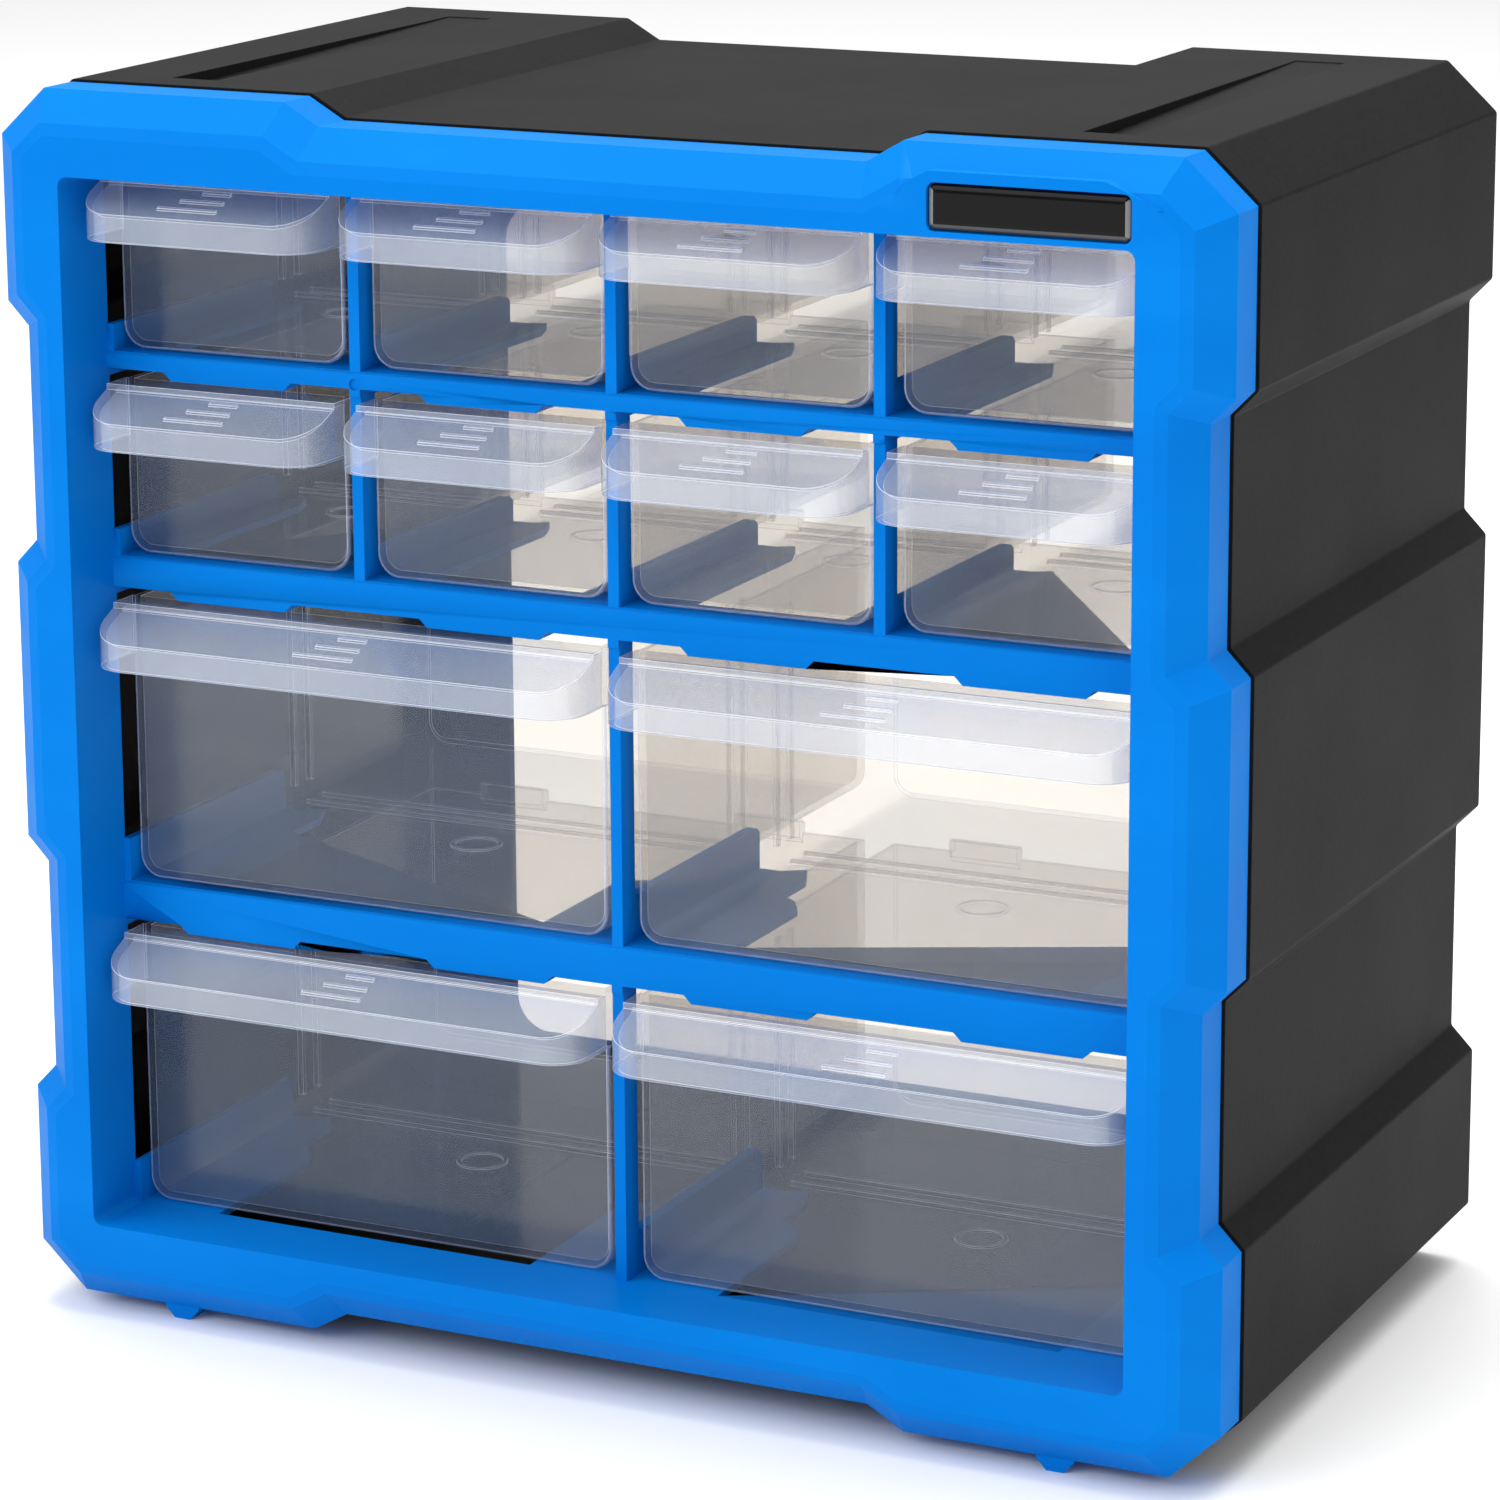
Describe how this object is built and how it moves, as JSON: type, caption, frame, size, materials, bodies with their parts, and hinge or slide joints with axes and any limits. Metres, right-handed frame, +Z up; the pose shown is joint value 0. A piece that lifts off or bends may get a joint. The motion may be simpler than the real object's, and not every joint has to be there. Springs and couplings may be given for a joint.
{
  "type": "parts organizer",
  "caption": "Drawer cabinet for small parts: open-backed shell, bevelled front frame with a runner grid, small and large clear pull-out drawers, stacking feet and channels.",
  "frame": {"origin": "middle of the footprint, on the surface the organizer stands on", "axes": "+X to the right across the width seen from the front, +Y from the front face to the back, +Z up"},
  "size_m": [0.265, 0.1542, 0.2567],
  "materials": {
    "shell_plastic": "fine matte grain",
    "frame_plastic": "satin",
    "plate_gloss": "high gloss",
    "drawer_plastic": "translucent, slightly milky"
  },
  "bodies": {
    "cabinet": {"cabinet_shell": "shell_plastic", "front_frame": "frame_plastic", "name_plate": "plate_gloss"},
    "drawer_r1_c1_body": {"drawer_r1_c1": "drawer_plastic"},
    "drawer_r1_c2_body": {"drawer_r1_c2": "drawer_plastic"},
    "drawer_r1_c3_body": {"drawer_r1_c3": "drawer_plastic"},
    "drawer_r1_c4_body": {"drawer_r1_c4": "drawer_plastic"},
    "drawer_r2_c1_body": {"drawer_r2_c1": "drawer_plastic"},
    "drawer_r2_c2_body": {"drawer_r2_c2": "drawer_plastic"},
    "drawer_r2_c3_body": {"drawer_r2_c3": "drawer_plastic"},
    "drawer_r2_c4_body": {"drawer_r2_c4": "drawer_plastic"},
    "drawer_r3_c1_body": {"drawer_r3_c1": "drawer_plastic"},
    "drawer_r3_c2_body": {"drawer_r3_c2": "drawer_plastic"},
    "drawer_r4_c1_body": {"drawer_r4_c1": "drawer_plastic"},
    "drawer_r4_c2_body": {"drawer_r4_c2": "drawer_plastic"}
  },
  "joints": [
    {"name": "drawer_r1_c1_slide", "type": "slide", "parent": "cabinet", "child": "drawer_r1_c1_body", "axis": [0, -1, 0], "range_m": [0, 0.1135]},
    {"name": "drawer_r1_c2_slide", "type": "slide", "parent": "cabinet", "child": "drawer_r1_c2_body", "axis": [0, -1, 0], "range_m": [0, 0.1135]},
    {"name": "drawer_r1_c3_slide", "type": "slide", "parent": "cabinet", "child": "drawer_r1_c3_body", "axis": [0, -1, 0], "range_m": [0, 0.1135]},
    {"name": "drawer_r1_c4_slide", "type": "slide", "parent": "cabinet", "child": "drawer_r1_c4_body", "axis": [0, -1, 0], "range_m": [0, 0.1135]},
    {"name": "drawer_r2_c1_slide", "type": "slide", "parent": "cabinet", "child": "drawer_r2_c1_body", "axis": [0, -1, 0], "range_m": [0, 0.1135]},
    {"name": "drawer_r2_c2_slide", "type": "slide", "parent": "cabinet", "child": "drawer_r2_c2_body", "axis": [0, -1, 0], "range_m": [0, 0.1135]},
    {"name": "drawer_r2_c3_slide", "type": "slide", "parent": "cabinet", "child": "drawer_r2_c3_body", "axis": [0, -1, 0], "range_m": [0, 0.1135]},
    {"name": "drawer_r2_c4_slide", "type": "slide", "parent": "cabinet", "child": "drawer_r2_c4_body", "axis": [0, -1, 0], "range_m": [0, 0.1135]},
    {"name": "drawer_r3_c1_slide", "type": "slide", "parent": "cabinet", "child": "drawer_r3_c1_body", "axis": [0, -1, 0], "range_m": [0, 0.1135]},
    {"name": "drawer_r3_c2_slide", "type": "slide", "parent": "cabinet", "child": "drawer_r3_c2_body", "axis": [0, -1, 0], "range_m": [0, 0.1135]},
    {"name": "drawer_r4_c1_slide", "type": "slide", "parent": "cabinet", "child": "drawer_r4_c1_body", "axis": [0, -1, 0], "range_m": [0, 0.1135]},
    {"name": "drawer_r4_c2_slide", "type": "slide", "parent": "cabinet", "child": "drawer_r4_c2_body", "axis": [0, -1, 0], "range_m": [0, 0.1135]}
  ]
}
